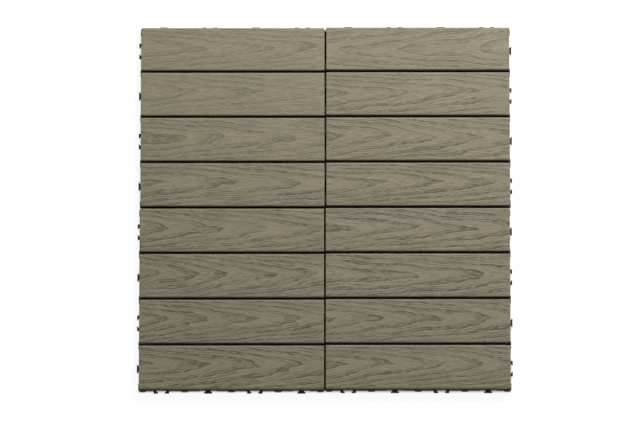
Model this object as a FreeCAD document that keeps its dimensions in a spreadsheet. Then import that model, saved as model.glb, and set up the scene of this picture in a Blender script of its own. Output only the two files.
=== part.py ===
"""A square panel of interlocking deck tiles, clipped together by their bases.

Each tile is a black moulded base with clips on all four edges and a row of composite slats laid
across it. Screws go up through the base's square bosses into the slats. Millimetres, +Z up. The
origin is on the ground under the middle of the panel. X runs along the slats.
"""
import os

import FreeCAD
import Part
import Sketcher

# Each size that can be set by itself: cell name, value, and what it measures.
SIZES = [
    ("tile_pitch", 300.0, "side of the square of ground that one tile covers"),
    ("tiles_across", 2, "tiles side by side along X"),
    ("tiles_deep", 2, "tiles one behind another along Y"),
    ("tile_step", 0.9, "sideways step between neighbouring tiles, taken up by the clips' play"),
    ("slats_per_tile", 4, "slats on one tile"),
    ("slat_gap", 4.0, "open joint between the long edges of two slats"),
    ("end_gap", 3.0, "open joint between the ends of the slats of two tiles"),
    ("slat_thick", 13.0, "thickness of a slat"),
    ("slat_round", 2.5, "radius of a slat's long upper edges"),
    ("relief_width", 18.0, "width of a relief channel under a slat"),
    ("relief_depth", 2.5, "depth of a relief channel"),
    ("relief_land", 8.0, "flat between a slat's edge and its relief channel"),
    ("base_height", 10.0, "ground to the underside of the slats"),
    ("rim_bottom", 2.5, "ground to the underside of the rim, the main ribs and the clips"),
    ("wall_setback", 1.5, "tile boundary to the outside of the rim"),
    ("rim_width", 4.4, "width of the rim"),
    ("rib_thick", 2.2, "thickness of a rib"),
    ("brace_bottom", 3.5, "ground to the underside of the bracing ribs"),
    ("brace_drop", 0.8, "underside of the slats to the top of the bracing ribs"),
    ("foot_width", 12.5, "side of a foot at its top"),
    ("edge_foot_depth", 5.0, "depth of the feet that stand under the rim"),
    ("foot_taper", 1.8, "how far each free side of a foot comes in at the ground"),
    ("spacer_gap", 0.5, "play between the facing feet of two tiles"),
    ("corner_cut", 3.0, "bevel on the four corners of a base"),
    ("clip_pairs", 2, "hook and socket pairs along one edge"),
    ("clip_reach", 2.2, "how far a clip passes the tile boundary"),
    ("clip_clearance", 0.4, "clearance of a hook in its socket, across the joint"),
    ("clip_drop", 2.5, "underside of the slats to the top of the clips"),
    ("clip_play", 1.0, "play of a hook in its socket, along the joint, on each side"),
    ("neck_width", 9.0, "width of a hook's neck"),
    ("head_width", 13.0, "width of a hook's head"),
    ("arm_thick", 5.0, "thickness of a socket's arms"),
    ("screw_inset", 37.5, "tile boundary to the middle of the first screw boss"),
    ("boss_width", 11.0, "side of a screw boss"),
]

# Lengths worked out from the cells, as expressions.
HALF = "(sizes.tile_pitch / 2)"
SLAT_PITCH = "(sizes.tile_pitch / sizes.slats_per_tile)"
SLAT_WIDTH = f"({SLAT_PITCH} - sizes.slat_gap)"
SLAT_LENGTH = "(sizes.tile_pitch - sizes.end_gap)"
CLIP_PITCH = "(sizes.tile_pitch / sizes.clip_pairs / 2)"
PAIR_SPAN = f"(sizes.tile_pitch - 2 * {CLIP_PITCH})"
SOCKET_X = f"(-{HALF} + {CLIP_PITCH} / 2)"
HOOK_X = f"({SOCKET_X} + {CLIP_PITCH})"
WALL = f"({HALF} - sizes.wall_setback)"
INSIDE = f"({WALL} - sizes.rim_width)"
SPACER = f"({HALF} - sizes.spacer_gap / 2)"
RECESS = f"({HALF} - sizes.clip_reach - sizes.clip_clearance)"
CLIP_TIP = f"({HALF} + sizes.clip_reach)"
CATCH = f"({HALF} + sizes.clip_clearance / 2)"
THROAT = "(sizes.neck_width / 2 + sizes.clip_play)"
SOCKET = "(sizes.head_width / 2 + sizes.clip_play)"
ARM_OUTSIDE = f"({SOCKET} + sizes.arm_thick)"
RECESS_SIDE = f"({ARM_OUTSIDE} + sizes.clip_play)"
RIB_HEIGHT = "(sizes.base_height - sizes.rim_bottom)"
BRACE_TOP = "(sizes.base_height - sizes.brace_drop)"
CLIP_HEIGHT = "(sizes.base_height - sizes.rim_bottom - sizes.clip_drop)"
SCREW_COLUMN = f"({HALF} - sizes.screw_inset)"
SCREW_SPAN = f"(2 * {SCREW_COLUMN})"
SLAT_SPAN = f"(sizes.tile_pitch - {SLAT_PITCH})"

FULL_TURN = 360.0
EDGES = 4
OVERLAP = 1.0  # how far a feature reaches into what it joins or past what it cuts


def make_sheet(doc):
    sheet = doc.addObject("Spreadsheet::Sheet", "sizes")
    for number, (name, value, meaning) in enumerate(SIZES, start=1):
        sheet.set(f"A{number}", str(value))
        sheet.setAlias(f"A{number}", name)
        sheet.set(f"B{number}", meaning)
    doc.recompute()
    return sheet


def value_of(obj, expression):
    return float(obj.evalExpression(str(expression)))


def new_body(doc, name):
    body = doc.addObject("PartDesign::Body", name)
    body.AllowCompound = True
    return body


def origin_part(body, role):
    return next(item for item in body.Origin.OriginFeatures if item.Role == role)


def new_sketch(body, name, plane="XY_Plane", height="0"):
    """A sketch on one of the body's own planes, lifted along its normal by height."""
    sketch = body.newObject("Sketcher::SketchObject", name)
    sketch.AttachmentSupport = [(origin_part(body, plane), "")]
    sketch.MapMode = "FlatFace"
    sketch.setExpression("AttachmentOffset.Base.z", height)
    sketch.Visibility = False
    return sketch


def pin_point(sketch, geometry, end, across, up):
    """Holds one point of the sketch at a place given by two expressions."""
    for kind, expression in (("DistanceX", across), ("DistanceY", up)):
        start = value_of(sketch, expression)
        row = sketch.addConstraint(Sketcher.Constraint(kind, -1, 1, geometry, end, start))
        sketch.setExpression(f"Constraints[{row}]", expression)


def outline(sketch, points):
    """A closed outline through points, each of them a pair of expressions."""
    places = [FreeCAD.Vector(value_of(sketch, x), value_of(sketch, y), 0) for x, y in points]
    first = len(sketch.Geometry)
    count = len(points)
    for k in range(count):
        sketch.addGeometry(Part.LineSegment(places[k], places[(k + 1) % count]), False)
    for k in range(count):
        following = first + (k + 1) % count
        sketch.addConstraint(Sketcher.Constraint("Coincident", first + k, 2, following, 1))
    for k, (x, y) in enumerate(points):
        pin_point(sketch, first + k, 1, x, y)


def rectangle(sketch, left, right, low, high):
    outline(sketch, [(left, low), (right, low), (right, high), (left, high)])


def pad(body, sketch, name, length):
    feature = body.newObject("PartDesign::Pad", name)
    feature.Profile = sketch
    feature.setExpression("Length", length)
    return feature


def pocket(body, sketch, name, length):
    """Cuts upwards from the sketch, along its normal."""
    feature = body.newObject("PartDesign::Pocket", name)
    feature.Profile = sketch
    feature.Reversed = True
    feature.setExpression("Length", length)
    return feature


def line_step(body, name, axis, length, count):
    step = body.newObject("PartDesign::LinearPattern", name)
    step.Direction = (origin_part(body, axis), [""])
    step.setExpression("Length", length)
    step.setExpression("Occurrences", count)
    return step


def round_step(body, name, count):
    step = body.newObject("PartDesign::PolarPattern", name)
    step.Axis = (origin_part(body, "Z_Axis"), [""])
    step.Angle = FULL_TURN
    step.Occurrences = count
    return step


def repeat(body, name, originals, steps):
    """Repeats features through one or more patterns, one after another."""
    feature = body.newObject("PartDesign::MultiTransform", name)
    feature.Originals = originals
    feature.Transformations = steps
    body.Tip = feature
    return feature


def around_the_edges(body, name, originals, first_span, count):
    """Repeats features along the near edge, and then on the other three edges."""
    along = line_step(body, f"{name}_along", "X_Axis", first_span, count)
    turn = round_step(body, f"{name}_turn", EDGES)
    return repeat(body, name, originals, [along, turn])


def add_rim(body):
    sketch = new_sketch(body, "rim_outline", height="sizes.rim_bottom")
    rectangle(sketch, f"-{WALL}", WALL, f"-{WALL}", WALL)
    rectangle(sketch, f"-{INSIDE}", INSIDE, f"-{INSIDE}", INSIDE)
    pad(body, sketch, "rim", RIB_HEIGHT)


def add_ribs(body):
    """Main ribs that carry the middles of the slats, braced under the joints and crossways."""
    reach = f"({INSIDE} + {OVERLAP})"
    half_rib = "(sizes.rib_thick / 2)"
    main_y = f"(-{HALF} + {SLAT_PITCH} / 2)"
    brace_y = f"(-{HALF} + {SLAT_PITCH})"
    brace_span = f"sizes.tile_pitch - 2 * {SLAT_PITCH}"
    brace_height = f"{BRACE_TOP} - sizes.brace_bottom"

    sketch = new_sketch(body, "main_rib_outline", height="sizes.rim_bottom")
    rectangle(sketch, f"-{reach}", reach, f"{main_y} - {half_rib}", f"{main_y} + {half_rib}")
    rib = pad(body, sketch, "main_rib", RIB_HEIGHT)
    repeat(body, "main_ribs", [rib], [
        line_step(body, "main_rib_row", "Y_Axis", SLAT_SPAN, "sizes.slats_per_tile")])

    sketch = new_sketch(body, "joint_brace_outline", height="sizes.brace_bottom")
    rectangle(sketch, f"-{reach}", reach, f"{brace_y} - {half_rib}", f"{brace_y} + {half_rib}")
    brace = pad(body, sketch, "joint_brace", brace_height)
    repeat(body, "joint_braces", [brace], [
        line_step(body, "joint_brace_row", "Y_Axis", brace_span, "sizes.slats_per_tile - 1")])

    sketch = new_sketch(body, "cross_brace_outline", height="sizes.brace_bottom")
    rectangle(sketch, f"{brace_y} - {half_rib}", f"{brace_y} + {half_rib}", f"-{reach}", reach)
    brace = pad(body, sketch, "cross_brace", brace_height)
    repeat(body, "cross_braces", [brace], [
        line_step(body, "cross_brace_row", "X_Axis", brace_span, "sizes.slats_per_tile - 1")])


def add_foot(body, name, left, right, low, high, top, tapers):
    """A drafted foot between four planes at its top, with a taper for each of its four sides."""
    foot = body.newObject("PartDesign::AdditiveWedge", name)
    foot.AttachmentSupport = [(origin_part(body, "XZ_Plane"), "")]
    foot.MapMode = "FlatFace"
    taper_left, taper_right, taper_low, taper_high = (f"{flag} * sizes.foot_taper" for flag in tapers)
    bounds = {
        "Ymin": "0", "Ymax": top,
        "X2min": left, "X2max": right, "Xmin": f"{left} + {taper_left}",
        "Xmax": f"{right} - {taper_right}",
        "Z2min": f"-({high})", "Z2max": f"-({low})", "Zmin": f"-({high}) + {taper_high}",
        "Zmax": f"-({low}) - {taper_low}"}
    for name_of_bound, expression in bounds.items():
        foot.setExpression(name_of_bound, expression)
    return foot


def add_feet(body):
    """Feet along the edges, which also space the tiles, and under the crossings of the braces."""
    half_foot = "(sizes.foot_width / 2)"
    inner = f"({SPACER} - sizes.foot_width)"

    corner = add_foot(body, "corner_foot", f"-{SPACER}", f"-{inner}", f"-{SPACER}", f"-{inner}",
                      "sizes.base_height", tapers=(0, 1, 0, 1))
    repeat(body, "corner_feet", [corner], [round_step(body, "corner_turn", EDGES)])
    cut_corners(body)

    edge_x = f"(-{HALF} + {CLIP_PITCH})"
    edge = add_foot(body, "edge_foot", f"{edge_x} - {half_foot}", f"{edge_x} + {half_foot}",
                    f"-{SPACER}", f"-{SPACER} + sizes.edge_foot_depth", "sizes.base_height",
                    tapers=(1, 1, 0, 0))
    around_the_edges(body, "edge_feet", [edge], PAIR_SPAN, "2 * sizes.clip_pairs - 1")

    start = f"(-{HALF} + {SLAT_PITCH})"
    near, far = f"{start} - {half_foot}", f"{start} + {half_foot}"
    middle = add_foot(body, "middle_foot", near, far, near, far, BRACE_TOP, tapers=(1, 1, 1, 1))
    span = f"sizes.tile_pitch - 2 * {SLAT_PITCH}"
    repeat(body, "middle_feet", [middle], [
        line_step(body, "middle_feet_x", "X_Axis", span, "sizes.slats_per_tile - 1"),
        line_step(body, "middle_feet_y", "Y_Axis", span, "sizes.slats_per_tile - 1")])


def cut_clip_recesses(body):
    """Sets the rim back in each socket and round each hook, where the next tile's clips come in."""
    for name, middle, side in (("socket_recess", SOCKET_X, SOCKET), ("hook_recess", HOOK_X, RECESS_SIDE)):
        sketch = new_sketch(body, f"{name}_outline")
        rectangle(sketch, f"{middle} - {side}", f"{middle} + {side}", f"-{WALL} - {OVERLAP}", f"-{RECESS}")
        recess = pocket(body, sketch, name, f"sizes.base_height + {OVERLAP}")
        around_the_edges(body, f"{name}_set", [recess], PAIR_SPAN, "sizes.clip_pairs")


def add_clips(body):
    """Hooks and sockets, in turn along each edge, that lock two tiles when one is pressed down."""
    root = f"-({RECESS} - {OVERLAP})"
    neck = "(sizes.neck_width / 2)"
    head = "(sizes.head_width / 2)"

    hook_sketch = new_sketch(body, "hook_outline", height="sizes.rim_bottom")
    outline(hook_sketch, [
        (f"{HOOK_X} - {neck}", root), (f"{HOOK_X} - {neck}", f"-{CATCH}"),
        (f"{HOOK_X} - {head}", f"-{CATCH}"), (f"{HOOK_X} - {head}", f"-{CLIP_TIP}"),
        (f"{HOOK_X} + {head}", f"-{CLIP_TIP}"), (f"{HOOK_X} + {head}", f"-{CATCH}"),
        (f"{HOOK_X} + {neck}", f"-{CATCH}"), (f"{HOOK_X} + {neck}", root)])
    hook = pad(body, hook_sketch, "hook", CLIP_HEIGHT)

    arm_sketch = new_sketch(body, "socket_arm_outlines", height="sizes.rim_bottom")
    for side in ("-", "+"):
        outline(arm_sketch, [
            (f"{SOCKET_X} {side} {ARM_OUTSIDE}", root),
            (f"{SOCKET_X} {side} {ARM_OUTSIDE}", f"-{CLIP_TIP}"),
            (f"{SOCKET_X} {side} {THROAT}", f"-{CLIP_TIP}"),
            (f"{SOCKET_X} {side} {THROAT}", f"-{CATCH}"),
            (f"{SOCKET_X} {side} {SOCKET}", f"-{CATCH}"),
            (f"{SOCKET_X} {side} {SOCKET}", root)])
    arms = pad(body, arm_sketch, "socket_arms", CLIP_HEIGHT)
    around_the_edges(body, "clips", [hook, arms], PAIR_SPAN, "sizes.clip_pairs")


def add_screw_bosses(body):
    """Square bosses under each end of every slat, for the screws that come up from below."""
    first_y = f"(-{HALF} + {SLAT_PITCH} / 2)"
    half_boss = "(sizes.boss_width / 2)"
    sketch = new_sketch(body, "boss_outline", height="sizes.rim_bottom")
    rectangle(sketch, f"-{SCREW_COLUMN} - {half_boss}", f"-{SCREW_COLUMN} + {half_boss}",
              f"{first_y} - {half_boss}", f"{first_y} + {half_boss}")
    boss = pad(body, sketch, "boss", RIB_HEIGHT)
    repeat(body, "bosses", [boss], [
        line_step(body, "boss_columns", "X_Axis", SCREW_SPAN, "2"),
        line_step(body, "boss_rows", "Y_Axis", SLAT_SPAN, "sizes.slats_per_tile")])


def cut_corners(body):
    """Takes off the four outside corners at 45 degrees."""
    outside = f"({SPACER} + {OVERLAP})"
    inner = f"({SPACER} - sizes.corner_cut - {OVERLAP})"
    sketch = new_sketch(body, "corner_outline")
    outline(sketch, [(f"-{outside}", f"-{inner}"), (f"-{outside}", f"-{outside}"),
                     (f"-{inner}", f"-{outside}")])
    corner = pocket(body, sketch, "corner", f"sizes.base_height + {OVERLAP}")
    repeat(body, "corners", [corner], [round_step(body, "corner_cut_turn", EDGES)])


def make_base(doc):
    """One moulding: a rim with its clips, joined with the ribs and the feet."""
    frame = new_body(doc, "rim_and_clips")
    add_rim(frame)
    cut_corners(frame)
    cut_clip_recesses(frame)
    add_clips(frame)

    lattice = new_body(doc, "rib_lattice")
    add_ribs(lattice)
    add_screw_bosses(lattice)

    feet = new_body(doc, "feet")
    add_feet(feet)

    doc.recompute()
    moulding = frame.newObject("PartDesign::Boolean", "base_moulding")
    moulding.Type = "Fuse"
    moulding.addObjects([lattice, feet])
    frame.Tip = moulding
    return frame


def long_edges(shape, axis, other, reach, height):
    """Names of the straight edges along one axis at a given place across and up."""
    names = []
    for number, edge in enumerate(shape.Edges, start=1):
        ends = [vertex.Point for vertex in edge.Vertexes]
        if len(ends) != 2 or abs(ends[0][axis] - ends[1][axis]) < 1e-6:
            continue
        if all(abs(abs(end[other]) - reach) < 1e-6 and abs(end.z - height) < 1e-6 for end in ends):
            names.append(f"Edge{number}")
    return names


def make_slat(doc):
    """A composite slat with rounded long edges, sawn ends and two relief channels below."""
    body = new_body(doc, "slat_profile")
    half_width = f"({SLAT_WIDTH} / 2)"
    half_length = f"({SLAT_LENGTH} / 2)"
    channel_out = f"({half_width} - sizes.relief_land)"
    channel_in = f"({channel_out} - sizes.relief_width)"

    block_sketch = new_sketch(body, "slat_outline")
    rectangle(block_sketch, f"-{half_length}", half_length, f"-{half_width}", half_width)
    block = pad(body, block_sketch, "slat_block", "sizes.slat_thick")

    channel_sketch = new_sketch(body, "relief_outlines")
    past_end = f"({half_length} + {OVERLAP})"
    rectangle(channel_sketch, f"-{past_end}", past_end, channel_in, channel_out)
    rectangle(channel_sketch, f"-{past_end}", past_end, f"-{channel_out}", f"-{channel_in}")
    pocket(body, channel_sketch, "relief_channels", "sizes.relief_depth")
    doc.recompute()

    rounding = body.newObject("PartDesign::Fillet", "rounded_edges")
    top = value_of(block, "sizes.slat_thick")
    before = rounding.BaseFeature
    rounding.Base = (before, long_edges(before.Shape, 0, 1, value_of(block, half_width), top))
    rounding.setExpression("Radius", "sizes.slat_round")
    body.Tip = rounding
    return body


def place_copy(doc, label, source, x, y, z):
    """One sub-part of the panel: a copy of a moulding, slat or screw set, in its place."""
    copy = doc.addObject("Part::Compound", label)
    copy.Label = label
    copy.Links = [source]
    for axis, expression in (("x", x), ("y", y), ("z", z)):
        copy.setExpression(f"Placement.Base.{axis}", expression)
    return copy


def lay_tiles(doc, base, slat):
    """Lays the tiles in rows from the far edge, each a little out of line with its neighbours."""
    copies = []
    across, deep, per_tile = (int(round(value_of(base, f"sizes.{name}")))
                              for name in ("tiles_across", "tiles_deep", "slats_per_tile"))
    for row in range(deep):
        for column in range(across):
            right = f"({column} - (sizes.tiles_across - 1) / 2)"
            back = f"((sizes.tiles_deep - 1) / 2 - {row})"
            x = f"{right} * sizes.tile_pitch + {back} * sizes.tile_step"
            y = f"{back} * sizes.tile_pitch + {right} * sizes.tile_step"
            tile = f"tile_r{row + 1}_c{column + 1}"
            copies.append(place_copy(doc, f"{tile}_base", base, x, y, "0"))
            for number in range(per_tile):
                along = f"((sizes.slats_per_tile - 1) / 2 - {number}) * {SLAT_PITCH}"
                copies.append(place_copy(doc, f"{tile}_slat_{number + 1}", slat, x,
                                         f"{y} + {along}", "sizes.base_height"))
    return copies


def check_document(doc):
    for obj in doc.Objects:
        if "Invalid" in obj.State or "Error" in obj.State:
            raise RuntimeError(f"{obj.Label} failed: {obj.State}")


def write_parts(copies):
    os.makedirs("parts", exist_ok=True)
    for copy in copies:
        shape = copy.Shape
        if shape.isNull() or not shape.isValid() or not shape.Solids:
            raise RuntimeError(f"{copy.Label} has no valid solid")
        shape.exportStep(os.path.join("parts", f"{copy.Label}.step"))
        print(f"{copy.Label}: {len(shape.Solids)} solids, {shape.Volume / 1000:.1f} cm3")


def main():
    doc = FreeCAD.newDocument("deck_tiles")
    make_sheet(doc)
    base = make_base(doc)
    slat = make_slat(doc)
    copies = lay_tiles(doc, base, slat)
    doc.recompute()
    check_document(doc)
    write_parts(copies)


main()
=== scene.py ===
"""Looks of a panel of four clipped deck tiles: embossed composite slats on black moulded bases."""

import math

import bmesh
import bpy
import numpy as np
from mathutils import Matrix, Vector


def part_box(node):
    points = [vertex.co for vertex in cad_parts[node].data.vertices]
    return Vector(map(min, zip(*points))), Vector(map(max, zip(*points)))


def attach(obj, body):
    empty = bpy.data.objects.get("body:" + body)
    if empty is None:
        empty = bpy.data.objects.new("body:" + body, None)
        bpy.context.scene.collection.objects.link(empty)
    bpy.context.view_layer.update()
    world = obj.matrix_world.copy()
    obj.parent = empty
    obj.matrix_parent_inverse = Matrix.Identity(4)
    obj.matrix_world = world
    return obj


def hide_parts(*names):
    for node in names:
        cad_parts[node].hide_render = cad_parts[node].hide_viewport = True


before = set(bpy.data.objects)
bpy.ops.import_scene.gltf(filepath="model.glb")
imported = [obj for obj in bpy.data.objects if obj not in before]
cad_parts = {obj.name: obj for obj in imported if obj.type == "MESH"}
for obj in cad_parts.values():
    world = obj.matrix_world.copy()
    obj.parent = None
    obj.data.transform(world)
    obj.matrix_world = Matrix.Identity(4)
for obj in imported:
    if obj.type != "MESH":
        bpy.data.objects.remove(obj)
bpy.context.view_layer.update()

MM = 0.001
SLATS = sorted(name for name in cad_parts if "_slat_" in name)
BASES = sorted(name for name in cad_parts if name.endswith("_base"))
TILES = [name[: -len("_base")] for name in BASES]

# Slat section, in millimetres. The first four sizes are those of the solids.
EDGE_ROUND = 2.5  # radius of the long upper edges
RELIEF_DEPTH = 2.5  # depth of the two channels underneath
RELIEF_INNER = 9.5  # inner and outer side of a channel, from the slat's middle
RELIEF_OUTER = 27.5
RELIEF_FALL = 0.05  # how much less deep a channel is at its inner side
FOOT_BEVEL = 0.4  # bevel of the long lower edges
SKIN_DEPTH = 3.2  # how far down the sides the embossed skin reaches
SKIN_STEP = 0.05  # how far the side falls back there
ARC_STEPS = 5

# What a point of the section lies on. The number is also the share of the grain's depth it takes.
TOP, SHOULDER, BODY = 1.0, 0.5, 0.0

# Rounding of a slat's ends, in millimetres, and its points as shares of that: along the slat from
# the end, and in from the section.
END_ROUND = 0.8
END_POINTS = [(0.0, 1.0), (0.13, 0.5), (0.5, 0.13), (1.0, 0.0)]

# Mesh steps over the top and the depth of the embossed grain, in millimetres.
STEP_ACROSS = 0.55
STEP_ALONG = 1.8
EMBOSS = 0.55

# Grain of each tile's slats from the far one: where an arch has its tip and how far apart the tips
# are, in millimetres along the slat, how strongly the grain is pressed, and whether it points right
# (1) or left (-1).
# The strengths are kept low on the far slats: a painted sheen that fades their grain there as glare would,
# on top of each slat's own variation.
ARCHES = {
    "tile_r1_c1": [(-54, 100, 0.48, 1), (-73, 100, 0.47, 1), (-16, 95, 0.70, 1), (-12, 104, 0.90, 1)],
    "tile_r1_c2": [(-30, 105, 0.62, -1), (80, 120, 0.76, 1), (23, 78, 0.86, 1), (30, 94, 0.90, 1)],
    "tile_r2_c1": [(-18, 83, 0.90, 1), (-15, 70, 1.00, 1), (35, 70, 0.98, 1), (-41, 85, 1.00, 1)],
    "tile_r2_c2": [(77, 100, 0.98, 1), (104, 140, 1.00, 1), (34, 90, 1.00, 1), (-42, 75, 0.92, 1)],
}
FIRST_SLAT_SEED = 31

# Shape of the arches: the range in which each slat's own value is drawn.
AXIS = (1.0, 5.0)  # their axis, in millimetres from the slat's middle
TIP_ROUND = (2.5, 5.0)  # roundness of the tips, in millimetres
FAR_SLOPE = (0.045, 0.060)  # rings per millimetre across, on each side of the axis
NEAR_SLOPE = (0.029, 0.040)
BOW = (0.0010, 0.0022)  # how fast the rings close up away from the axis
NEAR_BOW_SHARE = 0.8  # share of that on the near side

# Waves that bend the grain: strength, and cell size along and across in millimetres. The first two
# shift it across in millimetres, the next three shift the rings and the last one the fine lines.
AXIS_WAVE = (3.0, 110.0, 1.0)
SIDE_WAVE = (1.6, 40.0, 16.0)
RING_WAVES = [(0.28, 70.0, 30.0), (0.12, 22.0, 7.0), (0.055, 7.0, 2.2)]
FINE_WAVE = (0.30, 25.0, 4.0)

# Short strokes that break the grain up.
STROKE_WAVES = [(0.6, 7.0, 1.1), (0.4, 3.5, 0.9)]
STROKE_LEAN = 0.22  # how far they close in on the axis for each millimetre along it
NEAR_STROKES = 300.0  # sets the strokes of the near side apart from those of the far side

# Patches in which the band, or the lead and the fine lines, fade, and what is left of each there.
FADE_CELLS, FADE_RANGE = (60.0, 12.0), (-0.9, 0.3)
PATCH_CELLS, PATCH_RANGE = (30.0, 6.0), (-0.7, 0.4)
BAND_LEFT, LEAD_LEFT, LINE_LEFT = 0.35, 0.25, 0.15

# Parts of a ring, as shares of it: where each rises and where it drops. The tip of an arch is at
# the lead.
BAND_RISE, BAND_DROP = (0.35, 0.86), (0.94, 1.0)
LEAD_RISE, LEAD_DROP = (0.85, 0.94), (0.97, 1.0)
LINE_RISE, LINE_DROP = (0.45, 0.84), (0.90, 1.0)
TIP_TURN = 0.94
LINES_IN_RING = 3.0
LINE_CLEAR = (6.0, 18.0)  # the fine lines weaken near the axis, in millimetres from it
LINE_AT_AXIS = 0.35  # what is left of them there

# Strength of the parts, and the range in which the strokes break each.
HATCH, HATCH_BREAK = 0.90, (-0.15, 0.40)
LEAD, LEAD_BREAK = 0.80, (-0.9, 0.1)
LINE, LINE_BREAK = 0.85, (-0.8, 0.1)

# Screws, in millimetres: place from a slat's middle, height of the heads' seat from the floor, and
# the profile of a pan head as radius and height, from the crown below up to the seat.
SCREW_X = 112.5
SCREW_TOP = 2.5
HEAD_PROFILE = [(2.0, 0.14), (2.7, 0.36), (3.2, 0.75), (3.45, 1.2), (3.5, 1.6), (3.5, 1.9)]
HEAD_HEIGHT = HEAD_PROFILE[-1][1]
HEAD_STEPS = 40
FIRST_SCREW_SEED = 500

# Cross recess of a screw, in millimetres.
CROSS_ARM = 1.75  # length of an arm from the middle
CROSS_HALF = 0.42  # half the width of an arm
CROSS_DEPTH = 1.15  # height that the recess reaches
CROSS_START = -0.4  # height at which the cutter starts, below the head
CROSS_TAPER = 0.6  # share of its size that is left at the top
CLEAN_DISTANCE = 0.01  # shorter edges are dissolved after the cut

# Edge rounding of the bases, and the distance within which their points are joined before it, in
# millimetres.
BASE_ROUND = 0.25
BASE_WELD = 0.001

# Angles from which an edge shows sharp, or is rounded on a base.
SLAT_CREASE = math.radians(50.0)
SCREW_CREASE = math.radians(40.0)
BASE_CREASE = math.radians(40.0)

# Floor and sky, in metres. The glow makes the floor around the panel look white.
FLOOR_HALF = 9.0
FLOOR_DROP = 0.0003
FLOOR_GREY = (0.80, 0.80, 0.80, 1)
GLOW_EDGE = (0.2960, 0.3010)  # where the glow sets in, from the panel's middle
GLOW_SHARE = 0.68
GLOW_EXTRA = 0.225
WHITE = (1, 1, 1, 1)
SKY_STRENGTH = 0.25


def lattice_noise(rng, x, y, cell_x, cell_y):
    """Smooth noise from -1 to 1 on random cells of the given size."""
    u = (x - x.min()) / cell_x
    v = (y - y.min()) / cell_y
    grid = rng.uniform(-1.0, 1.0, (int(v.max()) + 2, int(u.max()) + 2))
    row = np.floor(v).astype(int)
    column = np.floor(u).astype(int)
    fv = v - row
    fu = u - column
    fv = fv * fv * (3.0 - 2.0 * fv)
    fu = fu * fu * (3.0 - 2.0 * fu)
    low = grid[row, column] * (1.0 - fu) + grid[row, column + 1] * fu
    high = grid[row + 1, column] * (1.0 - fu) + grid[row + 1, column + 1] * fu
    return low * (1.0 - fv) + high * fv


def smooth(value, low, high):
    """A soft step from 0 at low to 1 at high."""
    t = np.clip((value - low) / (high - low), 0.0, 1.0)
    return t * t * (3.0 - 2.0 * t)


def pulse(turn, rise, drop):
    """1 between the rise and the drop, with soft flanks."""
    return smooth(turn, *rise) * (1.0 - smooth(turn, *drop))


def at_least(share, value):
    """The value from 0 to 1 lifted to lie between the share and 1."""
    return share + (1.0 - share) * value


def grain(seed, x, y, tip, spacing):
    """Nested arches pointing along x: how deep they are pressed and how dark a band is, 0 to 1."""
    rng = np.random.default_rng(seed)
    axis = rng.uniform(*AXIS)
    tip_round = rng.uniform(*TIP_ROUND)
    far_slope = rng.uniform(*FAR_SLOPE)
    near_slope = rng.uniform(*NEAR_SLOPE)
    bow = rng.uniform(*BOW)

    def wave(strength, cell_x, cell_y, rows=y):
        return strength * lattice_noise(rng, x, rows, cell_x, cell_y)

    across = y - axis
    across = across - wave(*AXIS_WAVE, rows=np.zeros_like(y))
    across = across - wave(*SIDE_WAVE)
    reach = np.sqrt(across ** 2 + tip_round ** 2) - tip_round
    rings = reach * np.where(across > 0, far_slope, near_slope)
    rings = rings + bow * across ** 2 * np.where(across > 0, 1.0, NEAR_BOW_SHARE)
    rings = rings + x / spacing
    for ring_wave in RING_WAVES:
        rings = rings + wave(*ring_wave)
    nearest = np.argmin((x - tip) ** 2 + (y - axis) ** 2)
    rings = rings + TIP_TURN - rings.flat[nearest]

    strokes = np.abs(across) + STROKE_LEAN * x + np.where(across > 0, 0.0, NEAR_STROKES)
    stroke = sum(wave(*stroke_wave, rows=strokes) for stroke_wave in STROKE_WAVES)
    fade = smooth(wave(1.0, *FADE_CELLS), *FADE_RANGE)
    patch = smooth(wave(1.0, *PATCH_CELLS), *PATCH_RANGE)

    turn = rings - np.floor(rings)
    cover = pulse(turn, BAND_RISE, BAND_DROP) * at_least(BAND_LEFT, fade)
    lead = pulse(turn, LEAD_RISE, LEAD_DROP) * at_least(LEAD_LEFT, patch)
    lines = LINES_IN_RING * rings + wave(*FINE_WAVE)
    line = pulse(lines - np.floor(lines), LINE_RISE, LINE_DROP) * at_least(LINE_LEFT, patch)
    line = line * at_least(LINE_AT_AXIS, smooth(np.abs(across), *LINE_CLEAR))

    hatch = HATCH * cover * smooth(stroke, *HATCH_BREAK)
    lead = LEAD * lead * smooth(stroke, *LEAD_BREAK)
    line = LINE * line * smooth(stroke, *LINE_BREAK)
    return 1.0 - (1.0 - hatch) * (1.0 - lead) * (1.0 - line), cover


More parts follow.
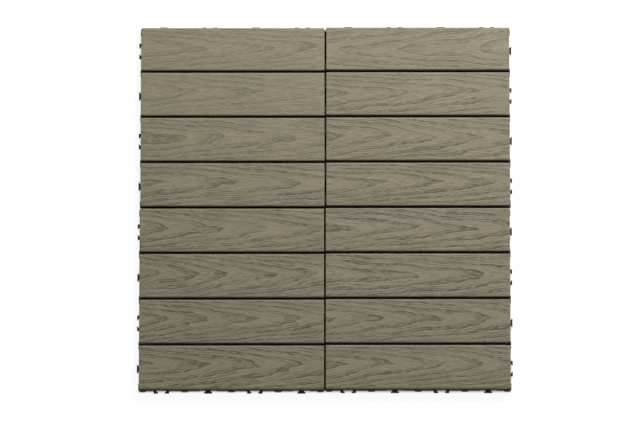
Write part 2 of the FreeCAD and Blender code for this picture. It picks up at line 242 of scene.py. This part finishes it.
def slat_section(width, height):
    """Points round the section from the top's near side: y, z, inward normal, and what each is on."""
    half = width / 2
    flat = half - EDGE_ROUND
    steps = int(round(2 * flat / STEP_ACROSS))
    skin_end = height - SKIN_DEPTH
    shallow = RELIEF_DEPTH - RELIEF_FALL

    def on_arc(middle, angle):
        c, s = math.cos(angle), math.sin(angle)
        return middle + EDGE_ROUND * c, height - EDGE_ROUND + EDGE_ROUND * s, -c, -s, SHOULDER

    points = [(-flat + 2 * flat * i / steps, height, 0.0, -1.0, TOP) for i in range(steps + 1)]
    points += [on_arc(flat, math.pi / 2 * (1 - i / ARC_STEPS)) for i in range(1, ARC_STEPS + 1)]
    points += [(half - SKIN_STEP, skin_end, -1.0, 0.0, BODY), (half, FOOT_BEVEL, -1.0, 0.3, BODY),
               (half - FOOT_BEVEL, 0.0, -0.3, 1.0, BODY)]
    for start, start_roof, end, end_roof in ((RELIEF_OUTER, RELIEF_DEPTH, RELIEF_INNER, shallow),
                                             (-RELIEF_INNER, shallow, -RELIEF_OUTER, RELIEF_DEPTH)):
        points += [(start, 0.0, 0.7, 0.7, BODY), (start, start_roof, 0.7, 0.7, BODY),
                   (end, end_roof, -0.7, 0.7, BODY), (end, 0.0, -0.7, 0.7, BODY)]
    points += [(-half + FOOT_BEVEL, 0.0, 0.3, 1.0, BODY), (-half, FOOT_BEVEL, 1.0, 0.3, BODY),
               (-half + SKIN_STEP, skin_end, 1.0, 0.0, BODY)]
    points += [on_arc(-flat, math.pi / 2 * (2 - i / ARC_STEPS)) for i in range(ARC_STEPS)]
    return np.array(points)


def stations(length):
    """Places along the slat, each with how far the section is drawn in there to round the end."""
    half = length / 2
    straight = length - 2 * END_ROUND
    steps = int(round(straight / STEP_ALONG))
    head = [(-half + END_ROUND * a, END_ROUND * b) for a, b in END_POINTS]
    inner = [(-half + END_ROUND + straight * i / steps, 0.0) for i in range(1, steps)]
    tail = [(half - END_ROUND * a, END_ROUND * b) for a, b in reversed(END_POINTS)]
    return np.array(head + inner + tail)


def make_slat(node, seed, arches, material):
    """A closed slat with its grain pressed into the top, in place of the plain solid."""
    tip, spacing, strength, way = arches
    low, high = (Vector(c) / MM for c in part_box(node))
    middle = (low + high) / 2
    section = slat_section(high.y - low.y, high.z - low.z)
    along = stations(high.x - low.x)
    rings, around = len(along), len(section)
    x = np.repeat(along[:, 0:1], around, axis=1)
    inset = along[:, 1:2]
    y = section[None, :, 0] + inset * section[None, :, 2]
    z = section[None, :, 1] + inset * section[None, :, 3]
    part = np.repeat(section[None, :, 4], rings, axis=0)
    # The slat's strength scales the grain; its low values on the far slats are a painted sheen.
    groove, cover = (strength * value for value in grain(seed, way * x, way * y, way * tip, spacing))
    z = z - EMBOSS * groove * part
    verts = np.stack([(x + middle.x) * MM, (y + middle.y) * MM, (z + low.z) * MM], axis=2)
    ring = np.arange(rings - 1)[:, None] * around
    a = ring + np.arange(around)[None, :]
    b = ring + (np.arange(around)[None, :] + 1) % around
    faces = np.stack([a, a + around, b + around, b], axis=2).reshape(-1, 4).tolist()
    faces.append(list(range(around)))
    faces.append([(rings - 1) * around + i for i in reversed(range(around))])
    mesh = bpy.data.meshes.new(node + "_board")
    mesh.from_pydata(verts.reshape(-1, 3).tolist(), [], faces)
    mesh.validate()
    skin = np.where(part > BODY, 1.0, 0.0)
    # Painted highlight: the rounded long edges and the rounded ends of the skin are marked to be drawn
    # lighter.
    painted_edge_highlight = np.where(part == SHOULDER, 1.0, 0.0) + (inset > 0) * skin
    for name, values in (("groove", groove * skin), ("band", cover * skin), ("skin", skin), ("painted_edge_highlight", painted_edge_highlight)):
        data = mesh.attributes.new(name, "FLOAT", "POINT")
        data.data.foreach_set("value", np.clip(values, 0.0, 1.0).astype(np.float32).ravel())
    mesh.shade_smooth()
    mesh.set_sharp_from_angle(angle=SLAT_CREASE)
    mesh.materials.append(material)
    board = bpy.data.objects.new(node + "_board", mesh)
    bpy.context.scene.collection.objects.link(board)
    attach(board, "root")
    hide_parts(node)


class Graph:
    """Short calls for building the node tree of a material or a world."""

    def __init__(self, owner, output="OutputMaterial"):
        owner.use_nodes = True
        self.nodes = owner.node_tree.nodes
        self.links = owner.node_tree.links
        self.nodes.clear()
        self.output = self.put(output)

    def put(self, kind, inputs=None, **settings):
        """A new node. Inputs that are sockets are linked, others are set as values."""
        node = self.nodes.new("ShaderNode" + kind)
        for key, value in settings.items():
            setattr(node, key, value)
        for key, value in (inputs or {}).items():
            if isinstance(value, bpy.types.NodeSocket):
                self.links.new(value, node.inputs[key])
            else:
                node.inputs[key].default_value = value
        return node

    def attribute(self, name):
        return self.put("Attribute", attribute_name=name).outputs["Fac"]

    def noise(self, cells, detail=2.0, roughness=0.5):
        """Noise on cells of the given size along x, y and z, in millimetres."""
        place = self.put("TexCoord").outputs["Object"]
        scale = tuple(1 / (cell * MM) for cell in cells)
        vector = self.put("Mapping", {"Vector": place, "Scale": scale}).outputs["Vector"]
        inputs = {"Vector": vector, "Scale": 1.0, "Detail": detail, "Roughness": roughness}
        return self.put("TexNoise", inputs).outputs["Fac"]

    def spread(self, value, low, high, to_low=0.0, to_high=1.0):
        """The value's range from low to high stretched over the new one, and held at its ends."""
        inputs = {"Value": value, "From Min": low, "From Max": high, "To Min": to_low, "To Max": to_high}
        return self.put("MapRange", inputs).outputs["Result"]

    def mix(self, factor, first, second):
        """Two colours mixed. The colour sockets of the Mix node are its inputs 6 and 7."""
        return self.put("Mix", {"Factor": factor, 6: first, 7: second}, data_type="RGBA").outputs[2]

    def maths(self, operation, *values):
        return self.put("Math", dict(enumerate(values)), operation=operation).outputs[0]

    def bump(self, height, distance, strength):
        inputs = {"Height": height, "Distance": distance, "Strength": strength}
        return self.put("Bump", inputs).outputs["Normal"]

    def emission(self, strength):
        return self.put("Emission", {"Color": WHITE, "Strength": strength}).outputs[0]

    def seen_rays(self):
        """1 where a camera, glossy or transmission ray asks, else 0."""
        path = self.put("LightPath")
        seen = self.maths("MAXIMUM", path.outputs["Is Camera Ray"], path.outputs["Is Glossy Ray"])
        return self.maths("MAXIMUM", seen, path.outputs["Is Transmission Ray"])

    def surface(self, shader):
        self.links.new(shader, self.output.inputs["Surface"])

    def principled(self, **inputs):
        sockets = {key.replace("_", " "): value for key, value in inputs.items()}
        self.surface(self.put("BsdfPrincipled", sockets).outputs[0])


def slat_material():
    """Olive grey composite: pressed grain, fine fibres along the slat, a painted highlight on the rounded
    edges and painted shade on the sides.
    """
    material = bpy.data.materials.new("slat_composite")
    g = Graph(material)
    groove = g.attribute("groove")
    band = g.attribute("band")
    skin = g.attribute("skin")
    painted_edge_highlight = g.attribute("painted_edge_highlight")
    fibre = g.noise((9.0, 0.9, 0.9), detail=3.0, roughness=0.6)
    fleck = g.noise((5.0, 0.7, 0.7))
    streak = g.noise((14.0, 1.8, 1.8))
    cloud = g.noise((120.0, 45.0, 45.0))
    speckle = g.noise((0.6, 0.6, 0.6), detail=3.0, roughness=0.6)

    # The plain composite: slow clouds, dark fibres, dark and pale streaks, and pale specks.
    body = g.mix(g.spread(cloud, 0.3, 0.7), (0.238, 0.211, 0.144, 1), (0.264, 0.235, 0.160, 1))
    body = g.mix(g.spread(fibre, 0.35, 0.7, to_high=0.60), body, (0.168, 0.149, 0.101, 1))
    body = g.mix(g.spread(streak, 0.44, 0.64, to_high=0.40), body, (0.150, 0.133, 0.089, 1))
    body = g.mix(g.spread(streak, 0.46, 0.30, to_high=0.40), body, (0.290, 0.259, 0.178, 1))
    body = g.mix(g.spread(speckle, 0.45, 0.75, to_high=0.30), body, (0.345, 0.309, 0.229, 1))

    # The grain over it. Dark flecks lie mostly in the bands. The grooves are darkened partly as the grain's
    # own colour and partly as painted shade in the recesses.
    flecks_share = g.maths("ADD", g.maths("MULTIPLY", band, 0.5), 0.10)
    flecks = g.maths("MULTIPLY", g.spread(fleck, 0.52, 0.62), flecks_share)
    toned = body
    for share, strength, colour in ((band, 0.34, (0.135, 0.119, 0.079, 1)),
                                    (flecks, 0.70, (0.090, 0.078, 0.050, 1)),
                                    # grooves: grain colour and painted shade in the recesses
                                    (groove, 0.92, (0.074, 0.062, 0.037, 1)),
                                    # painted highlight along the rounded edges and ends
                                    (painted_edge_highlight, 0.30, (0.335, 0.305, 0.232, 1))):
        toned = g.mix(g.maths("MULTIPLY", share, strength), toned, colour)

    # Below the skin the sides are drawn near-black: partly a dark core, partly painted shade on the side
    # faces.
    core_and_painted_shade = g.mix(g.spread(speckle, 0.4, 0.7), (0.014, 0.0125, 0.010, 1), (0.034, 0.030, 0.024, 1))
    dull = g.maths("ADD", fibre, g.maths("MULTIPLY", groove, 0.25))
    rough = g.spread(dull, 0.3, 0.9, to_low=0.56, to_high=0.74)
    core_rough = g.spread(skin, 0.0, 1.0, to_low=0.95, to_high=0.0)
    height = g.maths("ADD", g.maths("MULTIPLY", fibre, 0.7), g.maths("MULTIPLY", speckle, 0.3))
    g.principled(Base_Color=g.mix(skin, core_and_painted_shade, toned), Roughness=g.maths("MAXIMUM", rough, core_rough),
                 Normal=g.bump(height, 0.22 * MM, 0.8), Specular_IOR_Level=0.28)
    return material


def base_material():
    """Black moulded plastic with a fine spark-eroded texture, faint flow marks and some dust."""
    material = bpy.data.materials.new("base_plastic")
    g = Graph(material)
    grit = g.noise((0.45, 0.45, 0.45), detail=3.0, roughness=0.6)
    flow = g.noise((35.0, 20.0, 12.0), detail=3.0, roughness=0.55)
    dust = g.noise((6.0, 6.0, 6.0), detail=4.0, roughness=0.6)
    colour = g.mix(g.spread(flow, 0.3, 0.7), (0.0095, 0.0095, 0.0098, 1), (0.017, 0.017, 0.0172, 1))
    colour = g.mix(g.spread(dust, 0.55, 0.8, to_high=0.30), colour, (0.038, 0.037, 0.035, 1))
    rough = g.spread(flow, 0.25, 0.75, to_low=0.50, to_high=0.66)
    g.principled(Base_Color=colour, Roughness=rough, Normal=g.bump(grit, 0.06 * MM, 0.6),
                 Specular_IOR_Level=0.26)
    return material


def screw_material():
    """Black-coated steel, rubbed lighter in patches, with fine tool marks."""
    material = bpy.data.materials.new("screw_steel")
    g = Graph(material)
    patch = g.noise((2.2, 2.2, 2.2), detail=3.0, roughness=0.6)
    fine = g.noise((0.25, 0.25, 0.25), detail=2.0, roughness=0.6)
    colour = g.mix(g.spread(patch, 0.35, 0.7), (0.055, 0.055, 0.058, 1), (0.17, 0.165, 0.16, 1))
    rough = g.spread(patch, 0.3, 0.75, to_low=0.26, to_high=0.46)
    g.principled(Base_Color=colour, Metallic=1.0, Roughness=rough, Normal=g.bump(fine, 0.03 * MM, 0.5))
    return material


def capped_tube(name, rings):
    """A closed mesh through rings of points, the lowest first, each anticlockwise from above."""
    count = len(rings[0])
    faces = []
    for start in range(0, count * (len(rings) - 1), count):
        for i in range(count):
            j = (i + 1) % count
            faces.append([start + i, start + j, start + j + count, start + i + count])
    last = count * (len(rings) - 1)
    faces.append(list(reversed(range(count))))
    faces.append([last + i for i in range(count)])
    mesh = bpy.data.meshes.new(name)
    mesh.from_pydata([point for ring in rings for point in ring], [], faces)
    return mesh


def head_mesh():
    """One pan head with its crown down."""
    turns = [2 * math.pi * i / HEAD_STEPS for i in range(HEAD_STEPS)]
    return capped_tube("head", [[(radius * math.cos(turn), radius * math.sin(turn), z) for turn in turns]
                                for radius, z in HEAD_PROFILE])


def cross_mesh():
    """The cross-shaped cutter of the recess, narrowing inwards."""
    arm, half = CROSS_ARM, CROSS_HALF
    outline = [(arm, half), (half, half), (half, arm), (-half, arm), (-half, half), (-arm, half),
               (-arm, -half), (-half, -half), (-half, -arm), (half, -arm), (half, -half), (arm, -half)]
    return capped_tube("cross", [[(x * share, y * share, z) for x, y in outline]
                                 for share, z in ((1.0, CROSS_START), (CROSS_TAPER, CROSS_DEPTH))])


def recessed_head():
    """The finished head as points and faces, in millimetres."""
    head = bpy.data.objects.new("head", head_mesh())
    cutter = bpy.data.objects.new("cross", cross_mesh())
    for item in (head, cutter):
        bpy.context.scene.collection.objects.link(item)
    cut = head.modifiers.new("recess", "BOOLEAN")
    cut.object = cutter
    cut.operation = "DIFFERENCE"
    cut.solver = "EXACT"
    done = bmesh.new()
    done.from_object(head, bpy.context.evaluated_depsgraph_get())
    bmesh.ops.dissolve_degenerate(done, dist=CLEAN_DISTANCE, edges=done.edges)
    done.verts.index_update()
    points = np.array([v.co[:] for v in done.verts])
    faces = [[v.index for v in face.verts] for face in done.faces]
    done.free()
    for item in (head, cutter):
        bpy.data.objects.remove(item)
    return points, faces


def make_screws(tile, head, material):
    """The eight screw heads under one tile, each at its own turn."""
    points, faces = head
    rng = np.random.default_rng(FIRST_SCREW_SEED + TILES.index(tile))
    verts, loops = [], []
    for node in (name for name in SLATS if name.startswith(tile)):
        low, high = (Vector(c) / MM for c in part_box(node))
        middle = (low + high) / 2
        for side in (-1, 1):
            turn = rng.uniform(0.0, math.pi / 2)
            c, s = math.cos(turn), math.sin(turn)
            place = np.stack([points[:, 0] * c - points[:, 1] * s + middle.x + side * SCREW_X,
                              points[:, 0] * s + points[:, 1] * c + middle.y,
                              points[:, 2] + SCREW_TOP - HEAD_HEIGHT], axis=1)
            loops += [[i + len(verts) for i in face] for face in faces]
            verts += (place * MM).tolist()
    mesh = bpy.data.meshes.new(tile + "_screws")
    mesh.from_pydata(verts, [], loops)
    mesh.shade_smooth()
    mesh.set_sharp_from_angle(angle=SCREW_CREASE)
    mesh.materials.append(material)
    screws = bpy.data.objects.new(tile + "_screws", mesh)
    bpy.context.scene.collection.objects.link(screws)
    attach(screws, "root")


def dress_base(node, material):
    """The moulding keeps its solid and gets rounded edges and the plastic."""
    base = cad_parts[node]
    base.data.materials.clear()
    base.data.materials.append(material)
    weld = base.modifiers.new("weld", "WELD")
    weld.merge_threshold = BASE_WELD * MM
    bevel = base.modifiers.new("edge_round", "BEVEL")
    bevel.width = BASE_ROUND * MM
    bevel.segments = 2
    bevel.limit_method = "ANGLE"
    bevel.angle_limit = BASE_CREASE
    bevel.use_clamp_overlap = True


def make_floor():
    """A pale floor that shows white and still takes the panel's shadow."""
    a = FLOOR_HALF
    mesh = bpy.data.meshes.new("floor")
    mesh.from_pydata([(-a, -a, 0), (a, -a, 0), (a, a, 0), (-a, a, 0)], [], [[0, 1, 2, 3]])
    floor = bpy.data.objects.new("floor", mesh)
    floor.location.z = -FLOOR_DROP
    bpy.context.scene.collection.objects.link(floor)
    material = bpy.data.materials.new("floor_pale")
    g = Graph(material)
    place = g.put("SeparateXYZ", {"Vector": g.put("TexCoord").outputs["Object"]}).outputs
    far = g.maths("MAXIMUM", g.maths("ABSOLUTE", place["X"]), g.maths("ABSOLUTE", place["Y"]))
    glows = g.maths("MULTIPLY", g.seen_rays(), g.spread(far, *GLOW_EDGE))
    plain = g.put("BsdfDiffuse", {"Color": FLOOR_GREY}).outputs[0]
    veil = g.put("MixShader", {0: GLOW_SHARE, 1: plain, 2: g.emission(1.0)}).outputs[0]
    bright = g.put("AddShader", {0: veil, 1: g.emission(GLOW_EXTRA)}).outputs[0]
    g.surface(g.put("MixShader", {0: glows, 1: plain, 2: bright}).outputs[0])
    mesh.materials.append(material)


def make_world():
    """An even soft sky for light and a white one to look at."""
    world = bpy.data.worlds.new("studio")
    g = Graph(world, "OutputWorld")
    bpy.context.scene.world = world
    sky = g.put("Background", {"Color": WHITE, "Strength": SKY_STRENGTH}).outputs[0]
    white = g.put("Background", {"Color": WHITE, "Strength": 1.0}).outputs[0]
    g.surface(g.put("MixShader", {0: g.seen_rays(), 1: sky, 2: white}).outputs[0])


def make_lamp(place, size, energy):
    """A square soft lamp pointed at the middle of the panel."""
    lamp = bpy.data.lights.new("key", "AREA")
    lamp.size = size
    lamp.energy = energy
    item = bpy.data.objects.new("key", lamp)
    item.location = place
    item.rotation_euler = (-Vector(place)).to_track_quat("-Z", "Y").to_euler()
    bpy.context.scene.collection.objects.link(item)


def make_camera(lens, distance, elevation, aim):
    """A long lens over the panel, tipped towards the near edge."""
    camera = bpy.data.cameras.new("camera")
    camera.lens = lens
    camera.sensor_width = 36.0
    camera.clip_end = 50.0
    item = bpy.data.objects.new("camera", camera)
    item.location = Vector(aim) + distance * Vector((0.0, -math.cos(elevation), math.sin(elevation)))
    item.rotation_euler = (math.pi / 2 - elevation, 0.0, 0.0)
    bpy.context.scene.collection.objects.link(item)
    bpy.context.scene.camera = item


bpy.context.scene.view_settings.view_transform = "Standard"
make_camera(lens=350.0, distance=10.05, elevation=math.radians(78.0), aim=(-0.0082, -0.0076, 0.0115))
make_world()
make_floor()
make_lamp(place=(0.70, 1.35, 1.45), size=0.9, energy=49.0)

composite = slat_material()
plastic = base_material()
steel = screw_material()
for index, name in enumerate(SLATS):
    tile, number = name.split("_slat_")
    make_slat(name, FIRST_SLAT_SEED + index, ARCHES[tile][int(number) - 1], composite)
for name in BASES:
    dress_base(name, plastic)
head_shape = recessed_head()
for name in TILES:
    make_screws(name, head_shape, steel)
